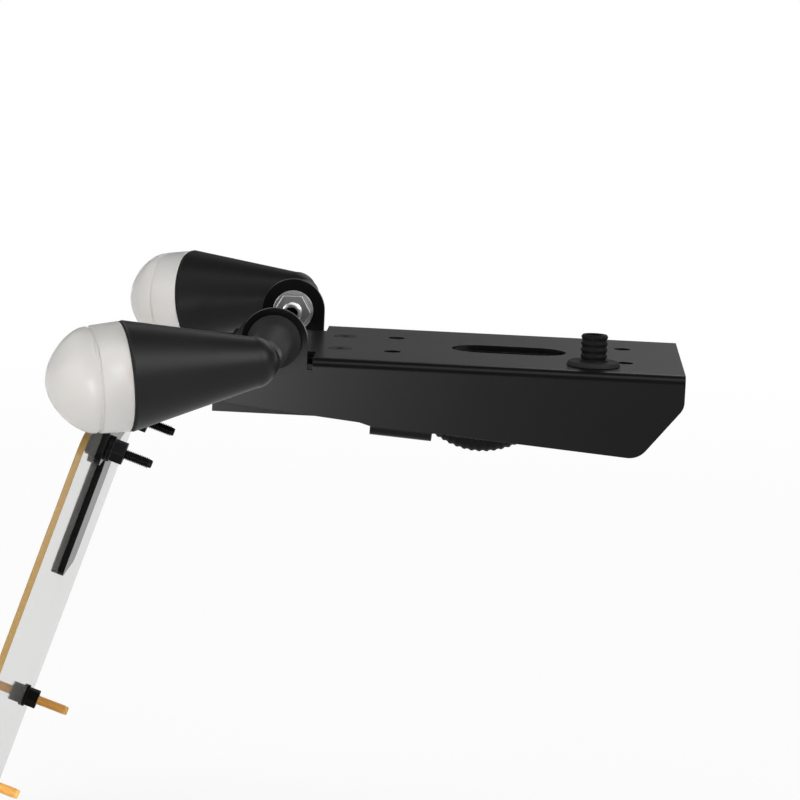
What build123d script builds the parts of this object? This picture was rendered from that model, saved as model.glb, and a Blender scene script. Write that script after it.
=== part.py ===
from build123d import *
from math import cos, radians, sin, tan
import os

os.makedirs("parts", exist_ok=True)

# Frame: +X towards the front of the motorbike, +Y to its left, +Z up, in mm.
# The origin is the centre of the tail bolt pattern, on the face that seats under the tail.

# Fits
slip = 0.05
pass_gap = 0.2

# Folded sheet
sheet = 2.5
bend_out = 3.5
bend_in = 1.0

# Main bracket: ends, the low points of its side plates, and the folded tabs
bracket_width = 100.0
bracket_rear = -106.0
bracket_front = 66.0
rear_low = -18.2
step_low = -23.2
step_run = 4.2
tab_rear = -49.8
tab_front = -26.8
tab_bottom = -27.9
tab_drop = 1.5
tab_lip = 12.0
waist_x = 4.2
waist_low = -28.3
belly_x = 50.0
belly_low = -31.8
nose_low = -12.0
rear_round = 4.0
belly_round = 8.0
nose_round = 6.0
tail_hole = 6.6
tail_pitch_x = 88.0
tail_pitch_y = 40.0
cable_slot_length = 44.0
cable_slot_width = 22.0

# Plate hanger: nested channel, bent neck, cross head and tongue
hanger_overhang = 3.0
hanger_front = -56.0
hanger_depth = 22.0
neck_half = 30.0
neck_bend = 4.5
lean = 18.5
plate_foot_x = -138.2
head_top = -16.0
head_bottom = -47.0
head_round = 6.0
tongue_half = 18.0
tongue_bottom = -99.0
tongue_round = 5.0
shoulder_round = 8.0
bolt_slot = 14.0

# Lamp tab, cut from the cross head and left flat
lamp_tab_half = 15.0
lamp_tab_root = 18.2
lamp_tab_gap = 2.0
lamp_tab_margin = 9.5
lamp_tab_round = 5.0
lamp_window_bottom = -35.0
lamp_window_round = 4.0

# Hanger screws and nuts
screw_front_x = -64.0
screw_pitch_x = 32.0
screw_inset = 29.5
screw_radius = 2.5
screw_length = 14.0
screw_hole = 2.75
screw_head = 4.7
screw_head_depth = 2.2
screw_socket = 1.7
screw_socket_depth = 1.6
screw_flange = 5.9
screw_hex = 4.0
screw_hex_height = 4.0

# Number plate and its bolts, in the plate's own plane
plate_width = 229.0
plate_height = 210.0
plate_thick = 2.4
plate_top = -24.5
plate_round = 8.0
bolt_inset = 11.0
upper_bolt_v = -40.5
lower_bolt_y = 66.0
lower_bolt_v = -170.7
bolt_radius = 2.0
bolt_hole_gap = 0.3
bolt_reach = 20.5
bolt_head = 4.4
bolt_head_height = 2.4
bolt_socket = 1.4
bolt_socket_depth = 1.5
plate_washer_radius = 5.0
plate_washer_thick = 1.0
nut_flange_height = 1.2
plate_nut_flange = 5.0
plate_nut_hex = 4.0
plate_nut_height = 5.0
nylon_reach = 19.0
nylon_head = 4.6
nylon_head_height = 2.6
nylon_slot_length = 6.0
nylon_slot_width = 1.2
nylon_nut_flange = 4.6
nylon_nut_hex = 3.5
nylon_nut_height = 4.6

# Indicator on the right side, placed by the joint between its housing and lens
seam_x = -133.0
seam_y = -120.0
seam_z = 0.0
splay = 17.8
droop = 6.4
seam_radius = 19.7
waist_radius = 9.2
housing_length = 54.5
dome_length = 8.5
dome_fullness = 0.55
tip_flat = 0.6
cavity_floor = 28.0
cavity_floor_radius = 10.6
cavity_wall = 2.6
rebate_wall = 1.3
rebate_depth = 1.2
lens_step = 0.2
lens_rim = 11.2
lens_draft = 0.6
lens_nose = 16.5
nose_fullness = 0.44
lens_wall = 2.2
gasket_thick = 0.8
gasket_lap = 1.2
bowl_mouth = 15.9
bowl_floor = 17.0
bowl_wall = 1.0
bowl_fullness = 0.73
holder_radius = 5.8
bulb_base = 15.0
bulb_tip = 1.0
bulb_radius = 4.4
bulb_foot = 3.6
bulb_sweep = 87.0

# Indicator stem, square to the bracket's side
stem_from_tip = 5.5
neck_length = 10.1
neck_radius = 6.5
stem_swell = 1.0
stem_taper_end = 6.0
stem_foot_radius = 10.0
stem_foot_thick = 3.0
stud_radius = 4.0
stud_bore = 2.5
stud_grip = 6.0
stud_spare = 4.0
washer_radius = 8.0
washer_thick = 1.5
stud_nut_hex = 6.5
stud_nut_thick = 5.0
ear_half = 12.5
ear_root = 12.0
ear_relief = 2.0
notch_depth = 19.0
notch_drop = 13.0

# Plate lamp under the hanger's tab
lamp_setback = 21.3
lamp_screw_y = 10.5
lamp_half = 17.0
lamp_depth = 16.0
lamp_height = 10.0
lamp_round = 3.0
lamp_wall = 1.6
lamp_roof = 2.0
boss_radius = 3.0
boss_bore_depth = 7.0
ledge_width = 1.0
ledge_drop = 5.0
board_thick = 1.2
emitter_size = 2.8
emitter_height = 0.8
emitter_pitch_x = 6.0
emitter_pitch_y = 5.5
lamp_lens_thick = 1.4
lamp_screw_radius = 1.5
lamp_screw_hole = 1.7
lamp_screw_head = 2.8
lamp_screw_head_height = 1.8
lamp_screw_length = 9.0

# Wiring conduit, its clip and its grommet
conduit_radius = 5.0
conduit_bore = 3.5
conduit_inset = 15.5
run_z = -12.5
run_end = -78.0
run_front = -48.0
sag_x = -10.0
sag_z = -32.0
riser_x = 32.0
riser_z = -13.4
conduit_top = 12.0
run_bend = 14.0
sag_bend = 23.0
riser_bend = 14.0
clip_x = -66.0
clip_length = 10.0
clip_wall = 1.2
grommet_hole = 8.0
grommet_gap = 0.1
grommet_lip = 2.2
grommet_lip_under = 1.6
grommet_lip_over = 1.8
grommet_lip_taper = 0.8

# Places that follow from the sizes above
web_under = -sheet
hanger_under = -2 * sheet
inner_half = bracket_width / 2 - sheet
nest_half = inner_half - sheet
tab_top = tab_bottom + bend_out
tab_slope = Vector(tab_front - tab_rear, 0, -tab_drop)
screw_y = inner_half - screw_inset
hanger_rear = bracket_rear - hanger_overhang
head_half = bracket_width / 2
upper_bolt_y = head_half - bolt_inset
lamp_x = plate_foot_x - lamp_setback
lamp_tab_rear = lamp_x - lamp_tab_margin
lamp_tab_front = plate_foot_x + lamp_tab_root
conduit_y = conduit_inset - inner_half
waist_length = housing_length - dome_length
stem_on_axis = housing_length - stem_from_tip
lens_radius = seam_radius - lens_step
lens_shoulder = -gasket_thick - lens_rim
lens_tip = lens_shoulder - lens_nose
rebate_radius = seam_radius - rebate_wall
notch_half = ear_half + ear_relief
notch_y = (bracket_width - notch_depth) / 2
stud_inner = inner_half - washer_thick - stud_nut_thick - stud_spare
nut_seat = sheet + plate_washer_thick
bowl_hole = holder_radius + pass_gap
lamp_inside_x = lamp_depth - 2 * lamp_wall
lamp_inside_y = 2 * (lamp_half - lamp_wall)

plate_normal = Vector(cos(radians(lean)), 0, -sin(radians(lean)))
plate_plane = Plane(origin=(plate_foot_x, 0, 0), x_dir=(0, 1, 0), z_dir=plate_normal)

seam = Vector(seam_x, seam_y, seam_z)
axial = Vector(
    cos(radians(droop)) * cos(radians(splay)),
    cos(radians(droop)) * sin(radians(splay)),
    sin(radians(droop)),
)
radial = axial.cross(Vector(0, 0, 1)).normalized()
axis_plane = Plane(origin=seam, x_dir=radial, z_dir=radial.cross(axial))
lamp_axis = Axis(seam, axial)
elbow = seam + axial * stem_on_axis
stem_at = (elbow.X, elbow.Z)
neck_end = -elbow.Y - neck_length

screw_rows = (screw_front_x, screw_front_x - screw_pitch_x)
screw_spots = [(x, side * screw_y) for x in screw_rows for side in (-1, 1)]
lamp_screw_spots = [(lamp_x, side * lamp_screw_y) for side in (-1, 1)]
upper_spots = [(side * upper_bolt_y, upper_bolt_v) for side in (-1, 1)]
lower_spots = [(side * lower_bolt_y, lower_bolt_v) for side in (-1, 1)]


# Main bracket: inverted channel, side plates trimmed to their stepped outline, tabs folded inwards
with BuildPart() as main_bracket:
    with BuildSketch(Plane.YZ.offset(bracket_rear)):
        with Locations((0, belly_low / 2)):
            Rectangle(bracket_width, -belly_low)
        with Locations((0, (belly_low + web_under) / 2)):
            Rectangle(2 * inner_half, web_under - belly_low, mode=Mode.SUBTRACT)
    extrude(amount=bracket_front - bracket_rear)
    top_corners = main_bracket.edges().filter_by(Axis.X).group_by(Axis.Z)[-1]
    fillet(top_corners, bend_out)
    under_corners = main_bracket.faces().filter_by(Axis.Z).sort_by(Axis.Z)[-2].edges().filter_by(Axis.X)
    fillet(under_corners, bend_in)
    with BuildSketch(Plane.XZ):
        with BuildLine():
            Polyline(
                (tab_rear, tab_top),
                (tab_front, tab_top - tab_drop),
                (waist_x, waist_low),
                (belly_x, belly_low),
                (bracket_front, nose_low),
                (bracket_front, 0),
                (bracket_rear, 0),
                (bracket_rear, rear_low),
                (tab_rear - step_run, step_low),
                close=True,
            )
        make_face()
        fillet(vertices().sort_by_distance((bracket_rear, rear_low))[0], rear_round)
        fillet(vertices().sort_by_distance((belly_x, belly_low))[0], belly_round)
        fillet(vertices().sort_by_distance((bracket_front, nose_low))[0], nose_round)
    extrude(amount=bracket_width, both=True, mode=Mode.INTERSECT)
    with BuildSketch(Plane(origin=(tab_rear, 0, tab_top), x_dir=(0, 1, 0), z_dir=tab_slope)):
        for side in (-1, 1):
            with BuildLine():
                FilletPolyline(
                    (side * (bracket_width - sheet) / 2, sheet),
                    (side * (bracket_width - sheet) / 2, sheet / 2 - bend_out),
                    (side * (bracket_width / 2 - tab_lip), sheet / 2 - bend_out),
                    radius=bend_out - sheet / 2,
                )
            trace(line_width=sheet)
    extrude(amount=tab_slope.length)
    with BuildSketch(Plane.XY):
        with GridLocations(tail_pitch_x, tail_pitch_y, 2, 2):
            Circle(tail_hole / 2)
        SlotOverall(cable_slot_length, cable_slot_width)
        with Locations((stem_at[0], -notch_y), (stem_at[0], notch_y)):
            Rectangle(2 * notch_half, notch_depth)
    extrude(amount=-bend_out - bend_in, mode=Mode.SUBTRACT)
    with Locations((riser_x, conduit_y, 0)):
        Hole(grommet_hole, depth=sheet)
    with Locations([(x, y, 0) for x, y in screw_spots]):
        CounterSinkHole(screw_hole, screw_head + pass_gap, depth=sheet, counter_sink_angle=90)
    for side in (-1, 1):
        with BuildSketch(Plane.XZ.offset(-side * inner_half)):
            with Locations(stem_at):
                Circle(ear_half)
            with Locations((stem_at[0], (stem_at[1] - ear_root) / 2)):
                Rectangle(2 * ear_half, stem_at[1] + ear_root)
            with Locations(stem_at):
                Circle(stud_radius + pass_gap, mode=Mode.SUBTRACT)
        extrude(amount=-side * sheet)
main_bracket.part.label = "main_bracket"
export_step(main_bracket.part, "parts/main_bracket.step")


# Plate hanger: channel nested in the bracket, bent legs, cross head and tongue, lamp tab cut from the head
with BuildPart() as plate_hanger:
    with BuildSketch(Plane.YZ.offset(hanger_rear)):
        with Locations((0, (web_under - hanger_depth) / 2)):
            Rectangle(2 * inner_half, hanger_depth - sheet)
        with Locations((0, (hanger_under - hanger_depth) / 2)):
            Rectangle(2 * nest_half, hanger_depth - 2 * sheet, mode=Mode.SUBTRACT)
    extrude(amount=hanger_front - hanger_rear)
    top_corners = plate_hanger.edges().filter_by(Axis.X).group_by(Axis.Z)[-1]
    fillet(top_corners, bend_out)
    under_corners = plate_hanger.faces().filter_by(Axis.Z).sort_by(Axis.Z)[-2].edges().filter_by(Axis.X)
    fillet(under_corners, bend_in)
    with BuildSketch(Plane.XY):
        with Locations((stem_at[0], -notch_y), (stem_at[0], notch_y)):
            Rectangle(2 * notch_half, notch_depth)
    extrude(amount=-notch_drop, mode=Mode.SUBTRACT)
    lean_run = tan(radians(lean))
    sheet_run = sheet / cos(radians(lean))
    outer_bend = (plate_foot_x + web_under * lean_run, web_under)
    inner_bend = (plate_foot_x + hanger_under * lean_run + sheet_run, hanger_under)
    leg_back = plate_plane.from_local_coords(Vector(0, head_top - sheet, 0))
    leg_face = plate_plane.from_local_coords(Vector(0, head_top - sheet, sheet))
    with BuildSketch(Plane.XZ):
        with BuildLine():
            Polyline(
                (bracket_rear, web_under),
                outer_bend,
                (leg_back.X, leg_back.Z),
                (leg_face.X, leg_face.Z),
                inner_bend,
                (bracket_rear, hanger_under),
                close=True,
            )
        make_face()
        fillet(vertices().sort_by_distance(outer_bend)[0], neck_bend)
        fillet(vertices().sort_by_distance(inner_bend)[0], neck_bend - sheet)
    extrude(amount=neck_half, both=True)
    with BuildSketch(plate_plane):
        with Locations((0, (head_top + head_bottom) / 2)):
            Rectangle(2 * head_half, head_top - head_bottom)
        fillet(vertices(), head_round)
        with Locations((0, (head_top + tongue_bottom) / 2)):
            Rectangle(2 * tongue_half, head_top - tongue_bottom)
        fillet(vertices().group_by(Axis.Y)[0], tongue_round)
        for side in (-1, 1):
            shoulder = (side * tongue_half, head_bottom)
            fillet(vertices().sort_by_distance(shoulder)[0], shoulder_round)
        with Locations(upper_spots):
            SlotOverall(bolt_slot, 2 * (bolt_radius + bolt_hole_gap), mode=Mode.SUBTRACT)
    extrude(amount=sheet)
    with BuildSketch(plate_plane.offset(-neck_bend)):
        with Locations((0, (neck_bend + lamp_window_bottom) / 2)):
            Rectangle(2 * (lamp_tab_half + lamp_tab_gap), neck_bend - lamp_window_bottom)
        fillet(vertices().group_by(Axis.Y)[0], lamp_window_round)
    extrude(amount=3 * neck_bend, mode=Mode.SUBTRACT)
    with BuildSketch(Plane.XY.offset(web_under)):
        with Locations(((lamp_tab_rear + lamp_tab_front) / 2, 0)):
            Rectangle(lamp_tab_front - lamp_tab_rear, 2 * lamp_tab_half)
        fillet(vertices().group_by(Axis.X)[0], lamp_tab_round)
    extrude(amount=-sheet)
    with Locations([(x, y, web_under) for x, y in screw_spots]):
        Hole(screw_hole, depth=sheet)
    with Locations([(x, y, web_under) for x, y in lamp_screw_spots]):
        Hole(lamp_screw_hole, depth=sheet)
plate_hanger.part.label = "plate_hanger"
export_step(plate_hanger.part, "parts/plate_hanger.step")


# Hanger screws: countersunk, flush with the seating face
with BuildPart() as hanger_screws:
    with BuildSketch(Plane.XY):
        with Locations(screw_spots):
            Circle(screw_head)
    extrude(amount=-screw_head_depth, taper=45)
    with BuildSketch(Plane.XY):
        with Locations(screw_spots):
            Circle(screw_radius)
    extrude(amount=-screw_length)
    with BuildSketch(Plane.XY):
        with Locations(screw_spots):
            RegularPolygon(screw_socket, 6)
    extrude(amount=-screw_socket_depth, mode=Mode.SUBTRACT)
hanger_screws.part.label = "hanger_screws"
export_step(hanger_screws.part, "parts/hanger_screws.step")


# Hanger nuts: flange nuts against the nested web
with BuildPart() as hanger_nuts:
    with BuildSketch(Plane.XY.offset(hanger_under)):
        with Locations(screw_spots):
            Circle(screw_flange)
    extrude(amount=-nut_flange_height)
    with BuildSketch(Plane.XY.offset(hanger_under)):
        with Locations(screw_spots):
            RegularPolygon(screw_hex, 6, major_radius=False)
    extrude(amount=-nut_flange_height - screw_hex_height)
    with BuildSketch(Plane.XY.offset(hanger_under)):
        with Locations(screw_spots):
            Circle(screw_radius + slip)
    extrude(amount=-nut_flange_height - screw_hex_height, mode=Mode.SUBTRACT)
hanger_nuts.part.label = "hanger_nuts"
export_step(hanger_nuts.part, "parts/hanger_nuts.step")


# Number plate: blank rounded sheet with an upper and a lower pair of holes
with BuildPart() as number_plate:
    with BuildSketch(plate_plane):
        with Locations((0, plate_top - plate_height / 2)):
            RectangleRounded(plate_width, plate_height, plate_round)
        with Locations(upper_spots + lower_spots):
            Circle(bolt_radius + bolt_hole_gap, mode=Mode.SUBTRACT)
    extrude(amount=-plate_thick)
number_plate.part.label = "number_plate"
export_step(number_plate.part, "parts/number_plate.step")


# Plate bolts: button heads on the plate's face, long threads reaching forwards
with BuildPart() as plate_bolts:
    with BuildSketch(plate_plane.offset(-plate_thick)):
        with Locations(upper_spots):
            Circle(bolt_head)
    extrude(amount=-bolt_head_height, taper=22)
    with BuildSketch(plate_plane.offset(-plate_thick)):
        with Locations(upper_spots):
            Circle(bolt_radius)
    extrude(amount=plate_thick + bolt_reach)
    with BuildSketch(plate_plane.offset(-plate_thick - bolt_head_height)):
        with Locations(upper_spots):
            RegularPolygon(bolt_socket, 6)
    extrude(amount=bolt_socket_depth, mode=Mode.SUBTRACT)
plate_bolts.part.label = "plate_bolts"
export_step(plate_bolts.part, "parts/plate_bolts.step")


# Plate washers: between the hanger's head and the nuts
with BuildPart() as plate_washers:
    with BuildSketch(plate_plane.offset(sheet)):
        with Locations(upper_spots):
            Circle(plate_washer_radius)
            Circle(bolt_radius + pass_gap, mode=Mode.SUBTRACT)
    extrude(amount=plate_washer_thick)
plate_washers.part.label = "plate_washers"
export_step(plate_washers.part, "parts/plate_washers.step")


# Plate nuts: tall flange nuts
with BuildPart() as plate_nuts:
    with BuildSketch(plate_plane.offset(nut_seat)):
        with Locations(upper_spots):
            Circle(plate_nut_flange)
    extrude(amount=nut_flange_height)
    with BuildSketch(plate_plane.offset(nut_seat)):
        with Locations(upper_spots):
            RegularPolygon(plate_nut_hex, 6, major_radius=False)
    extrude(amount=nut_flange_height + plate_nut_height)
    with BuildSketch(plate_plane.offset(nut_seat)):
        with Locations(upper_spots):
            Circle(bolt_radius + slip)
    extrude(amount=nut_flange_height + plate_nut_height, mode=Mode.SUBTRACT)
plate_nuts.part.label = "plate_nuts"
export_step(plate_nuts.part, "parts/plate_nuts.step")


# Nylon bolts: the plate's lower pair
with BuildPart() as nylon_bolts:
    with BuildSketch(plate_plane.offset(-plate_thick)):
        with Locations(lower_spots):
            Circle(nylon_head)
    extrude(amount=-nylon_head_height, taper=20)
    with BuildSketch(plate_plane.offset(-plate_thick)):
        with Locations(lower_spots):
            Circle(bolt_radius)
    extrude(amount=plate_thick + nylon_reach)
    with BuildSketch(plate_plane.offset(-plate_thick - nylon_head_height)):
        with Locations(lower_spots):
            Rectangle(nylon_slot_length, nylon_slot_width)
    extrude(amount=nylon_slot_width, mode=Mode.SUBTRACT)
nylon_bolts.part.label = "nylon_bolts"
export_step(nylon_bolts.part, "parts/nylon_bolts.step")


# Nylon nuts: flange nuts straight on the back of the plate
with BuildPart() as nylon_nuts:
    with BuildSketch(plate_plane):
        with Locations(lower_spots):
            Circle(nylon_nut_flange)
    extrude(amount=nut_flange_height)
    with BuildSketch(plate_plane):
        with Locations(lower_spots):
            RegularPolygon(nylon_nut_hex, 6, major_radius=False)
    extrude(amount=nut_flange_height + nylon_nut_height)
    with BuildSketch(plate_plane):
        with Locations(lower_spots):
            Circle(bolt_radius + slip)
    extrude(amount=nut_flange_height + nylon_nut_height, mode=Mode.SUBTRACT)
nylon_nuts.part.label = "nylon_nuts"
export_step(nylon_nuts.part, "parts/nylon_nuts.step")


# Right indicator housing: tapered shell on its splayed axis, with a neck turned square to the bracket
with BuildPart() as right_indicator_housing:
    with BuildSketch(axis_plane):
        with BuildLine():
            Bezier(
                (waist_radius, waist_length),
                (waist_radius, waist_length + dome_fullness * dome_length),
                (dome_fullness * waist_radius, housing_length),
                (tip_flat, housing_length),
            )
            Polyline(
                (tip_flat, housing_length),
                (0, housing_length),
                (0, cavity_floor),
                (cavity_floor_radius, cavity_floor),
                (seam_radius - cavity_wall, rebate_depth),
                (rebate_radius, rebate_depth),
                (rebate_radius, 0),
                (seam_radius, 0),
                (waist_radius, waist_length),
            )
        make_face()
    revolve(axis=lamp_axis)
    with BuildSketch(Plane.XZ.offset(neck_end)):
        with Locations(stem_at):
            Circle(neck_radius)
    extrude(amount=neck_length)
    with BuildSketch(Plane.XZ.offset(neck_end)):
        with Locations(stem_at):
            Circle(stud_radius + slip)
    extrude(amount=stud_grip, mode=Mode.SUBTRACT)
    with BuildSketch(Plane.XZ.offset(neck_end)):
        with Locations(stem_at):
            Circle(stud_bore)
    extrude(amount=neck_length, mode=Mode.SUBTRACT)
    with BuildSketch(Plane(origin=seam + axial * cavity_floor / 2, z_dir=axial)):
        Circle(stud_bore)
    extrude(amount=stem_on_axis - cavity_floor / 2, mode=Mode.SUBTRACT)
right_indicator_housing.part.label = "right_indicator_housing"
export_step(right_indicator_housing.part, "parts/right_indicator_housing.step")


# Right indicator lens: clear cap with a drafted rim and a blunt, nearly conical nose
with BuildPart() as right_indicator_lens:
    with BuildSketch(axis_plane):
        with BuildLine():
            for wall in (0, lens_wall):
                shoulder_radius = lens_radius - lens_draft - wall
                Line((lens_radius - wall, -gasket_thick), (shoulder_radius, lens_shoulder))
                Bezier(
                    (shoulder_radius, lens_shoulder),
                    (shoulder_radius, lens_shoulder - nose_fullness * lens_nose),
                    (nose_fullness * lens_radius, lens_tip + wall),
                    (tip_flat, lens_tip + wall),
                )
                Line((tip_flat, lens_tip + wall), (0, lens_tip + wall))
            Line((0, lens_tip), (0, lens_tip + lens_wall))
            Line((lens_radius - lens_wall, -gasket_thick), (lens_radius, -gasket_thick))
        make_face()
    revolve(axis=lamp_axis)
right_indicator_lens.part.label = "right_indicator_lens"
export_step(right_indicator_lens.part, "parts/right_indicator_lens.step")


# Right indicator gasket: flat ring between lens and housing
with BuildPart() as right_indicator_gasket:
    with BuildSketch(Plane(origin=seam, z_dir=-axial)):
        Circle(lens_radius)
        Circle(lens_radius - lens_wall - gasket_lap, mode=Mode.SUBTRACT)
    extrude(amount=gasket_thick)
right_indicator_gasket.part.label = "right_indicator_gasket"
export_step(right_indicator_gasket.part, "parts/right_indicator_gasket.step")


# Right indicator reflector: thin bowl hung by its rim in the housing's rebate
with BuildPart() as right_indicator_reflector:
    with BuildSketch(axis_plane):
        with BuildLine():
            ThreePointArc(
                (bowl_mouth + bowl_wall, rebate_depth),
                (bowl_fullness * bowl_mouth + bowl_wall, (bowl_floor + bowl_wall) / 2),
                (bowl_hole + bowl_wall, bowl_floor + bowl_wall),
            )
            Polyline(
                (bowl_hole + bowl_wall, bowl_floor + bowl_wall),
                (bowl_hole, bowl_floor + bowl_wall),
                (bowl_hole, bowl_floor),
            )
            ThreePointArc(
                (bowl_hole, bowl_floor),
                (bowl_fullness * bowl_mouth, bowl_floor / 2),
                (bowl_mouth, 0),
            )
            Polyline(
                (bowl_mouth, 0),
                (rebate_radius - pass_gap, 0),
                (rebate_radius - pass_gap, rebate_depth),
                (bowl_mouth + bowl_wall, rebate_depth),
            )
        make_face()
    revolve(axis=lamp_axis)
right_indicator_reflector.part.label = "right_indicator_reflector"
export_step(right_indicator_reflector.part, "parts/right_indicator_reflector.step")


# Right bulb holder: socket standing on the housing's floor
with BuildPart() as right_bulb_holder:
    with BuildSketch(Plane(origin=seam + axial * cavity_floor, z_dir=-axial)):
        Circle(holder_radius)
    extrude(amount=cavity_floor - bulb_base)
right_bulb_holder.part.label = "right_bulb_holder"
export_step(right_bulb_holder.part, "parts/right_bulb_holder.step")


# Right bulb: rounded glass on the holder
with BuildPart() as right_bulb:
    with BuildSketch(axis_plane):
        with BuildLine():
            glass_dome = CenterArc((0, bulb_tip + bulb_radius), bulb_radius, -bulb_sweep, bulb_sweep)
            Polyline(
                glass_dome @ 0,
                (0, (glass_dome @ 0).Y),
                (0, bulb_base),
                (bulb_foot, bulb_base),
                (bulb_radius, bulb_tip + bulb_radius),
            )
        make_face()
    revolve(axis=lamp_axis)
right_bulb.part.label = "right_bulb"
export_step(right_bulb.part, "parts/right_bulb.step")


# Right stem: rubber sleeve with a foot against the ear
with BuildPart() as right_stem:
    with BuildSketch(Plane.XY.offset(stem_at[1])):
        with BuildLine():
            Polyline(
                (stem_at[0] + stud_radius + slip, -neck_end),
                (stem_at[0] + neck_radius, -neck_end),
                (stem_at[0] + neck_radius + stem_swell, -bracket_width / 2 - stem_taper_end),
                (stem_at[0] + stem_foot_radius, -bracket_width / 2 - stem_foot_thick),
                (stem_at[0] + stem_foot_radius, -bracket_width / 2),
                (stem_at[0] + stud_radius + slip, -bracket_width / 2),
                close=True,
            )
        make_face()
    revolve(axis=Axis((stem_at[0], 0, stem_at[1]), (0, 1, 0)))
right_stem.part.label = "right_stem"
export_step(right_stem.part, "parts/right_stem.step")


# Left indicator: the right one mirrored
with BuildPart() as left_indicator_housing:
    add(mirror(right_indicator_housing.part, about=Plane.XZ))
left_indicator_housing.part.label = "left_indicator_housing"
export_step(left_indicator_housing.part, "parts/left_indicator_housing.step")

with BuildPart() as left_indicator_lens:
    add(mirror(right_indicator_lens.part, about=Plane.XZ))
left_indicator_lens.part.label = "left_indicator_lens"
export_step(left_indicator_lens.part, "parts/left_indicator_lens.step")

with BuildPart() as left_indicator_gasket:
    add(mirror(right_indicator_gasket.part, about=Plane.XZ))
left_indicator_gasket.part.label = "left_indicator_gasket"
export_step(left_indicator_gasket.part, "parts/left_indicator_gasket.step")

with BuildPart() as left_indicator_reflector:
    add(mirror(right_indicator_reflector.part, about=Plane.XZ))
left_indicator_reflector.part.label = "left_indicator_reflector"
export_step(left_indicator_reflector.part, "parts/left_indicator_reflector.step")

with BuildPart() as left_bulb_holder:
    add(mirror(right_bulb_holder.part, about=Plane.XZ))
left_bulb_holder.part.label = "left_bulb_holder"
export_step(left_bulb_holder.part, "parts/left_bulb_holder.step")

with BuildPart() as left_bulb:
    add(mirror(right_bulb.part, about=Plane.XZ))
left_bulb.part.label = "left_bulb"
export_step(left_bulb.part, "parts/left_bulb.step")

with BuildPart() as left_stem:
    add(mirror(right_stem.part, about=Plane.XZ))
left_stem.part.label = "left_stem"
export_step(left_stem.part, "parts/left_stem.step")


# Indicator studs: hollow threaded tubes from the necks through the ears
with BuildPart() as indicator_studs:
    for side in (-1, 1):
        with BuildSketch(Plane.XZ.offset(-side * stud_inner)):
            with Locations(stem_at):
                Circle(stud_radius)
                Circle(stud_bore, mode=Mode.SUBTRACT)
        extrude(amount=-side * (neck_end + stud_grip - stud_inner))
indicator_studs.part.label = "indicator_studs"
export_step(indicator_studs.part, "parts/indicator_studs.step")


# Indicator washers: inside the ears
with BuildPart() as indicator_washers:
    for side in (-1, 1):
        with BuildSketch(Plane.XZ.offset(-side * inner_half)):
            with Locations(stem_at):
                Circle(washer_radius)
                Circle(stud_radius + pass_gap, mode=Mode.SUBTRACT)
        extrude(amount=side * washer_thick)
indicator_washers.part.label = "indicator_washers"
export_step(indicator_washers.part, "parts/indicator_washers.step")


# Indicator nuts: clamp the studs
with BuildPart() as indicator_nuts:
    for side in (-1, 1):
        with BuildSketch(Plane.XZ.offset(-side * (inner_half - washer_thick))):
            with Locations(stem_at):
                RegularPolygon(stud_nut_hex, 6, major_radius=False)
                Circle(stud_radius + slip, mode=Mode.SUBTRACT)
        extrude(amount=side * stud_nut_thick)
indicator_nuts.part.label = "indicator_nuts"
export_step(indicator_nuts.part, "parts/indicator_nuts.step")


# Plate lamp housing: open box under the tab, with screw bosses and ledges for the board
with BuildPart() as lamp_housing:
    with BuildSketch(Plane.XY.offset(hanger_under)):
        with Locations((lamp_x, 0)):
            RectangleRounded(lamp_depth, 2 * lamp_half, lamp_round)
    extrude(amount=-lamp_height)
    with BuildSketch(Plane.XY.offset(hanger_under - lamp_roof)):
        with Locations((lamp_x, 0)):
            RectangleRounded(lamp_inside_x, lamp_inside_y, lamp_round - lamp_wall)
    extrude(amount=lamp_roof - lamp_height, mode=Mode.SUBTRACT)
    with BuildSketch(Plane.XY.offset(hanger_under)):
        with Locations(lamp_screw_spots):
            Circle(boss_radius)
    extrude(amount=lamp_lens_thick - lamp_height)
    with BuildSketch(Plane.XY.offset(hanger_under)):
        with Locations((lamp_x, -lamp_inside_y / 2), (lamp_x, lamp_inside_y / 2)):
            Rectangle(lamp_inside_x, 2 * ledge_width)
    extrude(amount=-ledge_drop)
    with BuildSketch(Plane.XY.offset(hanger_under)):
        with Locations(lamp_screw_spots):
            Circle(lamp_screw_radius + slip)
    extrude(amount=-boss_bore_depth, mode=Mode.SUBTRACT)
lamp_housing.part.label = "lamp_housing"
export_step(lamp_housing.part, "parts/lamp_housing.step")


# Plate lamp board: carries two rows of small emitters
with BuildPart() as lamp_board:
    with BuildSketch(Plane.XY.offset(hanger_under - ledge_drop)):
        with Locations((lamp_x, 0)):
            RectangleRounded(
                lamp_inside_x - 2 * pass_gap,
                lamp_inside_y - 2 * pass_gap,
                lamp_round - lamp_wall - pass_gap,
            )
        with Locations(lamp_screw_spots):
            Circle(boss_radius + pass_gap, mode=Mode.SUBTRACT)
    extrude(amount=-board_thick)
    with BuildSketch(Plane.XY.offset(hanger_under - ledge_drop - board_thick)):
        with Locations((lamp_x, 0)):
            with GridLocations(emitter_pitch_x, emitter_pitch_y, 2, 3):
                Rectangle(emitter_size, emitter_size)
    extrude(amount=-emitter_height)
lamp_board.part.label = "lamp_board"
export_step(lamp_board.part, "parts/lamp_board.step")


# Plate lamp lens: clear cover set into the box, against the bosses
with BuildPart() as lamp_lens:
    with BuildSketch(Plane.XY.offset(hanger_under - lamp_height)):
        with Locations((lamp_x, 0)):
            RectangleRounded(
                lamp_inside_x - 2 * slip,
                lamp_inside_y - 2 * slip,
                lamp_round - lamp_wall - slip,
            )
    extrude(amount=lamp_lens_thick)
lamp_lens.part.label = "lamp_lens"
export_step(lamp_lens.part, "parts/lamp_lens.step")


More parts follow.
